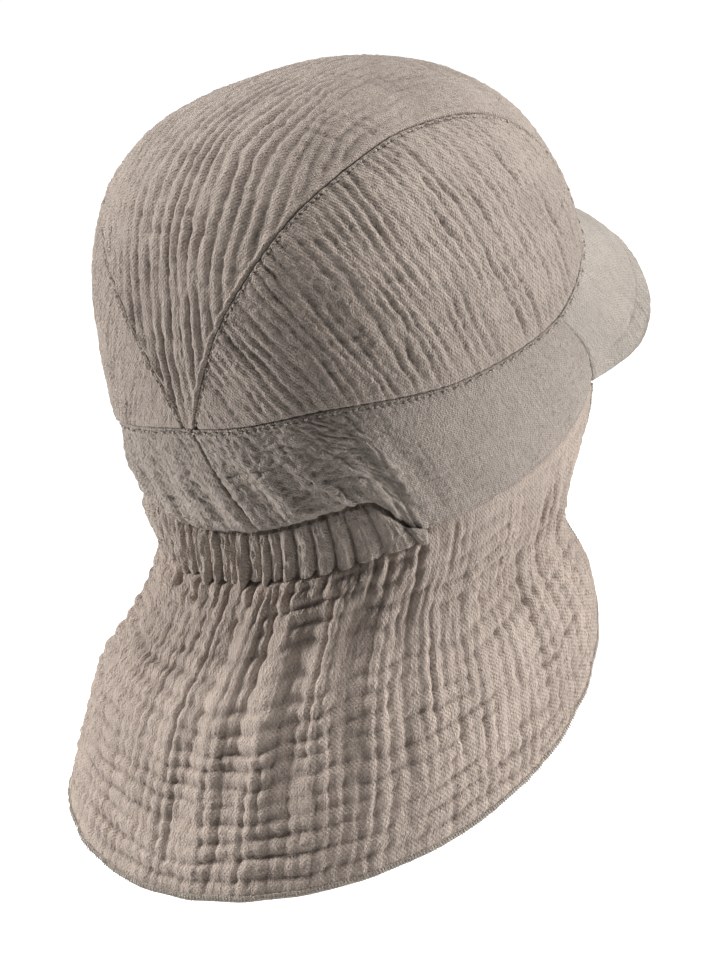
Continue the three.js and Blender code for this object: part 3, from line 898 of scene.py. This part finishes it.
def bandPiece(name, cadNode, side):
    def wayOf(u):
        return 1 - u if side > 0 else u

    def at(u, v):
        # the front end slips a little way under the peak
        way = wayOf(u)
        p = bandPoint(side, way * 1.012, 1 - v)
        return p * (1 - 0.009 * ease((way - 0.988) / 0.01))[..., None]

    def cover(u, v):
        way = wayOf(u)
        length = np.linalg.norm(bandPoint(side, way, 0 * v) - bandPoint(side, way, 0 * v + 1), axis=-1)
        return way * bandLook["length"], v * length

    def overCasing(u):
        return 1 - ease((wayOf(u) - 0.33) / 0.06)

    def relief(u, v):
        # puckered at the back, smooth towards the peak
        way = wayOf(u)
        s, t = cover(u, v)
        rough = mix(1, 0.12, ease((way - 0.3) / 0.22))
        look = dict(bandLook, seed=bandLook["seed"] + side)
        look = calmer(look, puff=rough, crossPuff=rough, line=mix(0.35, 1, rough), swell=mix(0.5, 1, rough))
        look = calmer(look, crossLine=mix(0.15, 1, rough), pucker=mix(0.1, 1, rough))
        slant = bandLook["slant"] if side > 0 else bandLook["rightSlant"]
        pulls = gathers(s, t, dict(look, pitch=bandLook["pullPitch"], seed=look["seed"] + 5, run=0.02))
        low = ease((0.5 - v) / 0.5) * overCasing(u) * mix(0.5, 1, ease((way - 0.08) / 0.1))
        lip = bandLook["lip"] * np.exp(-(((v - 0.1) / 0.11) ** 2)) * overCasing(u)
        under = -bandLook["tuck"] * ease((0.07 - v) / 0.07) * (1 - overCasing(u))
        return crinkle(s - slant * t, t, look) + (pulls - 0.5) * bandLook["pullDepth"] * low + lip + under

    def footRadius(u, v):
        return mix(0.02 * mm, bandLook["footRadius"], overCasing(u))

    grid = {"columns": 300, "rows": 92, "length": bandLook["length"], "height": 45 * mm}
    seams = {"u1" if side > 0 else "u0": seamRadius, "v1": seamRadius, "v0": footRadius}
    obj = clothShell(name, at, relief, cover, grid, dict(crownThickness, sewn=["v1"]), seams, bandCloth)
    stitched(obj, seamLine(name, "v1"), seamStitch)
    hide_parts(cadNode)
    return obj


# Peak

peakLook = sized(
    dict(
        pitch=5, puff=0.1, line=0.2, crossPitch=7, crossLine=0.2, crossPuff=0.05, cellWidth=9, cellHeight=9,
        pucker=0.25, pebble=0.1, swell=0.4, puckerPitch=3.2, puckerDepth=0.7, insertStep=0.6, edgeLine=0.45,
        thickness=3.4, length=200, depth=50,
    ),
    width=0.14, drift=0.5, wobble=0.2, zigzag=0.12, run=0.02, crests=0, crossRun=0.02, crossShare=0.3,
    rimShare=0.2, seed=131,
)


def peakPiece():
    def at(u, v):
        return peakPoint(mix(-1, 1, u), v)

    def cover(u, v):
        return u * peakLook["length"], v * peakLook["depth"]

    def relief(u, v):
        s, t = cover(u, v)
        held = ease((1 - np.abs(mix(-1, 1, u))) / 0.12)
        rim = (1 - ease((v - peakLook["rimShare"]) / 0.05)) * held
        look = dict(peakLook, pitch=peakLook["puckerPitch"], seed=peakLook["seed"] + 9, run=0.01)
        pucker = gathers(s, t, look) * peakLook["puckerDepth"] * (ease((v - 0.02) / 0.05) * rim)
        edgeLine = peakLook["edgeLine"] * held * np.exp(-(((v - peakLook["rimShare"] - 0.015) / 0.02) ** 2))
        return crinkle(s, t, peakLook) * held + pucker - edgeLine - peakLook["insertStep"] * rim

    grid = {"columns": 240, "rows": 90, "length": peakLook["length"], "height": 45 * mm}
    cloth = {"thickness": peakLook["thickness"], "sewn": ["v1"]}
    obj = clothShell("stiffPeak", at, relief, cover, grid, cloth, {"v1": seamRadius}, peakCloth)
    stitched(obj, seamLine("stiffPeak", "v1"), seamStitch)
    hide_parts("peak")
    return obj


# Elastic casing

casingLook = sized(
    dict(
        lobeDepth=4, tuckUp=2.5, tuckIn=3, sag=2.8, endLift=2.4, bulge=1.1, pucker=0.5, pebble=0.4,
        pebbleSize=2.5, thickness=2.2, length=200, height=26,
    ),
    lobes=24, slant=6, seed=211,
)


def casingPiece():
    seed = casingLook["seed"]

    def lobes(u):
        # Uneven pleats, wider towards the ends: each has its own width, height and length
        warp = 0.018 * noise(u * 8, 0 * u + 0.5, seed) + 0.008 * noise(u * 27, 0 * u + 3.5, seed + 1)
        phase = casingLook["lobes"] * (u - 0.06 * np.sin(2 * np.pi * u) + warp)
        pleat = np.floor(phase).astype(np.int64)
        own = hashed(pleat, 0 * pleat, seed + 2)
        return np.sin(np.pi * (phase - pleat)) ** 0.5, own

    def shownShare(v):
        return np.clip((v - 0.1) / 0.9, 0, 1)

    def at(u, v):
        turnRound = mix(casing["endTurn"], 360 - casing["endTurn"], u)
        gap = crown["seamGap"] / 2
        above = casingEdge(turnRound, "above") - gap
        below = casingEdge(turnRound, "below") - gap
        open6, open8, open4 = (ease((above + below) / (reach * mm)) for reach in (6, 8, 4))
        shown = shownShare(v)
        hidden = np.clip(1 - v / 0.1, 0, 1)
        bulge = np.sqrt(np.sin(np.pi * mix(0.06, 0.94, shown)))
        atEnd = np.maximum(ease((0.17 - u) / 0.1), ease((u - 0.83) / 0.1)) * open8
        outward = (bulge - 1) * casingLook["bulge"] - casingLook["tuckIn"] * ease((0.16 - v) / 0.16)
        outward = outward + casingLook["endLift"] * atEnd * ease(v / 0.3)
        height = mix(above, -below, shown) + casingLook["tuckUp"] * hidden * open4
        # the pleats fan out towards the ends and hang a little over the flap
        fan = casingLook["slant"] * shown * (ease((u - 0.7) / 0.3) - ease((0.3 - u) / 0.3)) * open6
        lobe, own = lobes(u)
        height = height - casingLook["sag"] * lobe * mix(0.2, 1.1, own) * ease((v - 0.6) / 0.4) * open6
        return skin(-(turnRound + fan), flapSeamHeight(turnRound) + height, outward)

    def cover(u, v):
        return u * casingLook["length"], v * casingLook["height"]

    def relief(u, v):
        lobe, own = lobes(u)
        shown = shownShare(v)
        body = np.sqrt(np.sin(np.pi * mix(0.1, 0.93, shown))) * mix(0.75, 1.2, shown)
        folds = noise(u * 150, v * 5, seed + 5) + noise(u * 60, v * 2, seed + 6)
        pebbles = noise(u * 300 * mm / casingLook["pebbleSize"], v * 8, seed + 8) * casingLook["pebble"]
        full = casingLook["lobeDepth"] * (lobe * mix(0.65, 1.1, own) * body - 0.5) * ease(v / 0.14)
        return full + folds * casingLook["pucker"] + pebbles

    grid = {"columns": 480, "rows": 56, "length": 160 * mm, "height": 21 * mm}
    cloth = {"thickness": casingLook["thickness"]}
    obj = clothShell("elasticCasing", at, relief, cover, grid, cloth, {}, casingCloth)
    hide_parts("elastic_casing")
    return obj


# Neck flap

flapLook = sized(
    dict(
        pitch=5, puff=0.78, line=0.75, crossPitch=5.8, crossLine=0.75, crossPuff=1.0, cellWidth=4.2,
        cellHeight=5, pucker=0.45, pebble=0.2, swell=0.4, gatherPitch=7, gatherDepth=2.4, tuckIn=2.4,
    ),
    width=0.15, drift=0.35, wobble=0.13, zigzag=0.08, run=0.02, crests=-0.15, even=0.75, crossCrests=-0.25,
    crossRun=0.03, crossShare=1.25, tuckUp=0.035, gatherSeed=330, seed=301,
)
edgingLook = sized(
    dict(width=2.6, thickness=3, pitch=1.05, lift=0, inset=0.3, sink=0.6, length=600, height=6),
    slant=0.15,
    fullness=0.32,
    steps=60,
    sides=10,
    seed=9,
)
edgingLook["size"] = (0.5 * mm, 2.5 * mm, 0.45 * mm)


def flapCover(along, down):
    return along * flap["width"], down * flap["length"]


def flapRelief(along, down):
    s, t = flapCover(along, down)
    turnRound = mix(peak["cornerTurn"], 360 - peak["cornerTurn"], along)
    behind = nape(turnRound)
    top = behind * (1 - ease((down - 0.03) / 0.16))
    gather = gathers(s, t, dict(flapLook, pitch=flapLook["gatherPitch"], seed=flapLook["gatherSeed"])) - 0.5
    # calm along the hem, the front edges and the side seams
    calm = mix(0.3, 1, ease((1 - down) / 0.09) * ease(along / 0.03) * ease((1 - along) / 0.03))
    calm = calm * mix(mix(0.25, 1, ease(down / 0.3)), 1, behind)
    look = calmer(flapLook, puff=calm, line=calm, crossPuff=calm, crossLine=calm, pucker=calm)
    face = crinkle(s, t, look) + gather * flapLook["gatherDepth"] * top
    hidden = mix(ease(-down / 0.03) * 0.6, ease((0.035 - down) / 0.05), behind)
    return face * mix(0.2, 1, ease((down + 0.01) / 0.06)) - flapLook["tuckIn"] * hidden


def flapFace(along, down):
    n = surfaceNormal(flapPoint, along, down)
    return flapPoint(along, down) + n * flapRelief(along, down)[..., None]


def neckFlap():
    inset = edgingLook["width"] * 0.75
    reachAlong = inset / flap["width"]

    def place(u, v):
        # the top edge goes up behind the band and the casing
        along = mix(reachAlong, 1 - reachAlong, u)
        return along, mix(-flapLook["tuckUp"], 1 - inset / flap["edgeLength"], v)

    def at(u, v):
        return flapPoint(*place(u, v))

    def cover(u, v):
        return flapCover(*place(u, v))

    def relief(u, v):
        return flapRelief(*place(u, v))

    grid = {"columns": 640, "rows": 120, "length": flap["width"], "height": flap["edgeLength"]}
    obj = clothShell("neckFlap", at, relief, cover, grid, crownThickness, {}, flapCloth)
    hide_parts("neck_flap")
    return obj


def edgePath(inset, count):
    # Places down the right front edge, along the hem and up the left front edge, at a distance inside the edge
    side = inset / flap["width"]
    foot = 1 - inset / flap["edgeLength"]
    parts = [
        (np.full(count, side), np.linspace(0, foot, count)),
        (np.linspace(side, 1 - side, count * 6)[1:], np.full(count * 6 - 1, foot)),
        (np.full(count - 1, 1 - side), np.linspace(foot, 0, count)[1:]),
    ]
    along = np.concatenate([p[0] for p in parts])
    down = np.concatenate([p[1] for p in parts])
    return along, down


def flapEdging():
    # A soft roll of thread round the cut edge
    along, down = edgePath(edgingLook["inset"], edgingLook["steps"])
    outerEdge = flapFace(along, down)
    innerEdge = flapFace(*edgePath(edgingLook["width"], edgingLook["steps"]))
    n = surfaceNormal(flapPoint, along, down)
    half = edgingLook["thickness"] * edgingLook["fullness"]
    middle = (outerEdge + innerEdge) / 2
    reach = (outerEdge - innerEdge) / 2
    sides = edgingLook["sides"]
    ring = []
    for k in range(sides):
        a = k / sides * 2 * math.pi
        ring.append(middle + reach * math.cos(a) + n * (half * math.sin(a) - edgingLook["sink"]))
    grid = np.stack(ring, axis=1)
    ids = np.arange(grid.shape[0] * sides).reshape(grid.shape[:2])
    nextIds = np.roll(ids, -1, axis=1)
    quads = np.stack([ids[:-1], nextIds[:-1], nextIds[1:], ids[1:]], -1).reshape(-1, 4)
    caps = np.stack([ids[0][::-1], ids[-1]])
    obj = meshFrom("flapEdging", grid.reshape(-1, 3), [quads, caps], threadCloth)
    s = np.linspace(0, edgingLook["length"], grid.shape[0])[:, None]
    t = np.linspace(0, edgingLook["height"], sides)[None]
    places = np.stack(np.broadcast_arrays(s, t), -1).reshape(-1, 2)
    weaveAttributes(obj, places, np.zeros(len(places)))
    stitched(obj, (middle + n * (half - edgingLook["sink"]), n), edgingLook)
    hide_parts("flap_edging")
    return obj


made = [
    crownMiddlePanel(),
    crownSidePanel("crownSidePanelLeft", "crown_side_panel_left", 1),
    crownSidePanel("crownSidePanelRight", "crown_side_panel_right", -1),
]
print("crown made")
made += [
    bandPiece("bandLeft", "band_left", 1),
    bandPiece("bandRight", "band_right", -1),
    peakPiece(),
    casingPiece(),
]
print("band, peak and casing made")
made += [neckFlap(), flapEdging()]
print("flap made")
for piece in made:
    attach(piece, "root")
    print(piece.name, sum(len(f.vertices) - 2 for f in piece.data.polygons), "triangles")


# Floor, light and camera

room = {
    "floorDrop": 0.55,
    "floorSize": 14,
    "floorColor": (0.92, 0.92, 0.92, 1),
    "mottleColor": (0.89, 0.89, 0.89, 1),
    "glow": 0.9,
    "world": 0.1,
}
view = {
    "azimuth": 222,
    "elevation": 16,
    "roll": -11,
    "distance": 1.3,
    "lens": 148.2,
    "aimRight": 5.4 * mm,
    "aimUp": -47.7 * mm,
}
# Directions are shares of the camera's right and up and of the way to the camera
lights = {
    "rightLight": {"right": 1, "up": 0.15, "near": 0.05, "distance": 1.6, "size": 0.7, "watts": 28},
    "topLight": {"right": 0, "up": 1, "near": 0.28, "distance": 1.6, "size": 0.6, "watts": 23},
    "leftLight": {"right": -1, "up": 0.15, "near": -0.05, "distance": 1.7, "size": 0.6, "watts": 35},
}


def plainFloor():
    mesh = bpy.data.meshes.new("floor")
    half = room["floorSize"]
    z = -room["floorDrop"]
    mesh.from_pydata([(-half, -half, z), (half, -half, z), (half, half, z), (-half, half, z)], [], [(0, 1, 2, 3)])
    material = bpy.data.materials.new("paleFloor")
    material.use_nodes = True
    tree = material.node_tree
    coords = node(tree, "ShaderNodeTexCoord")
    grain = mapRange(tree, noiseNode(tree, coords.outputs["Object"], 2.0), 0, 1, 0, 0.15)
    rays = node(tree, "ShaderNodeLightPath")
    given = {
        "Base Color": mixColor(tree, grain, room["floorColor"], room["mottleColor"]),
        "Roughness": 0.9,
        "Emission Color": (1, 1, 1, 1),
        "Emission Strength": mathNode(tree, "MULTIPLY", rays.outputs["Is Camera Ray"], room["glow"]),
    }
    fill(tree, tree.nodes["Principled BSDF"], given)
    mesh.materials.append(material)
    linked("floor", mesh)


def cameraFrame():
    a = view["azimuth"] * degree
    e = view["elevation"] * degree
    toCamera = Vector((math.sin(a) * math.cos(e), -math.cos(a) * math.cos(e), math.sin(e)))
    right = Vector((math.cos(a), math.sin(a), 0))
    up = toCamera.cross(right).normalized()
    roll = view["roll"] * degree
    rolledRight = right * math.cos(roll) + up * math.sin(roll)
    rolledUp = up * math.cos(roll) - right * math.sin(roll)
    return toCamera, rolledRight, rolledUp


def placeCamera():
    toCamera, right, up = cameraFrame()
    position = toCamera * view["distance"]
    target = right * view["aimRight"] + up * view["aimUp"]
    back = (position - target).normalized()
    right = up.cross(back).normalized()
    up = back.cross(right)
    data = bpy.data.cameras.new("camera")
    data.lens = view["lens"]
    data.clip_end = 60
    obj = linked("camera", data)
    obj.matrix_world = Matrix.Translation(position) @ Matrix((right, up, back)).transposed().to_4x4()
    bpy.context.scene.camera = obj


def softbox(name, look):
    toCamera, right, up = cameraFrame()
    way = (right * look["right"] + up * look["up"] + toCamera * look["near"]).normalized()
    data = bpy.data.lights.new(name, "AREA")
    data.shape = "DISK"
    data.size = look["size"]
    data.energy = look["watts"]
    obj = linked(name, data)
    obj.location = way * look["distance"]
    obj.rotation_euler = way.to_track_quat("Z", "Y").to_euler()


def studioLight():
    for name, look in lights.items():
        softbox(name, look)
    world = bpy.data.worlds.new("room")
    world.use_nodes = True
    tree = world.node_tree
    rays = node(tree, "ShaderNodeLightPath")
    strength = mapRange(tree, rays.outputs["Is Camera Ray"], 0, 1, room["world"], 1.0)
    fill(tree, tree.nodes["Background"], {"Color": (1, 1, 1, 1), "Strength": strength})
    bpy.context.scene.world = world
    bpy.context.scene.view_settings.view_transform = "Standard"


plainFloor()
placeCamera()
studioLight()
print("floor, camera and light set")
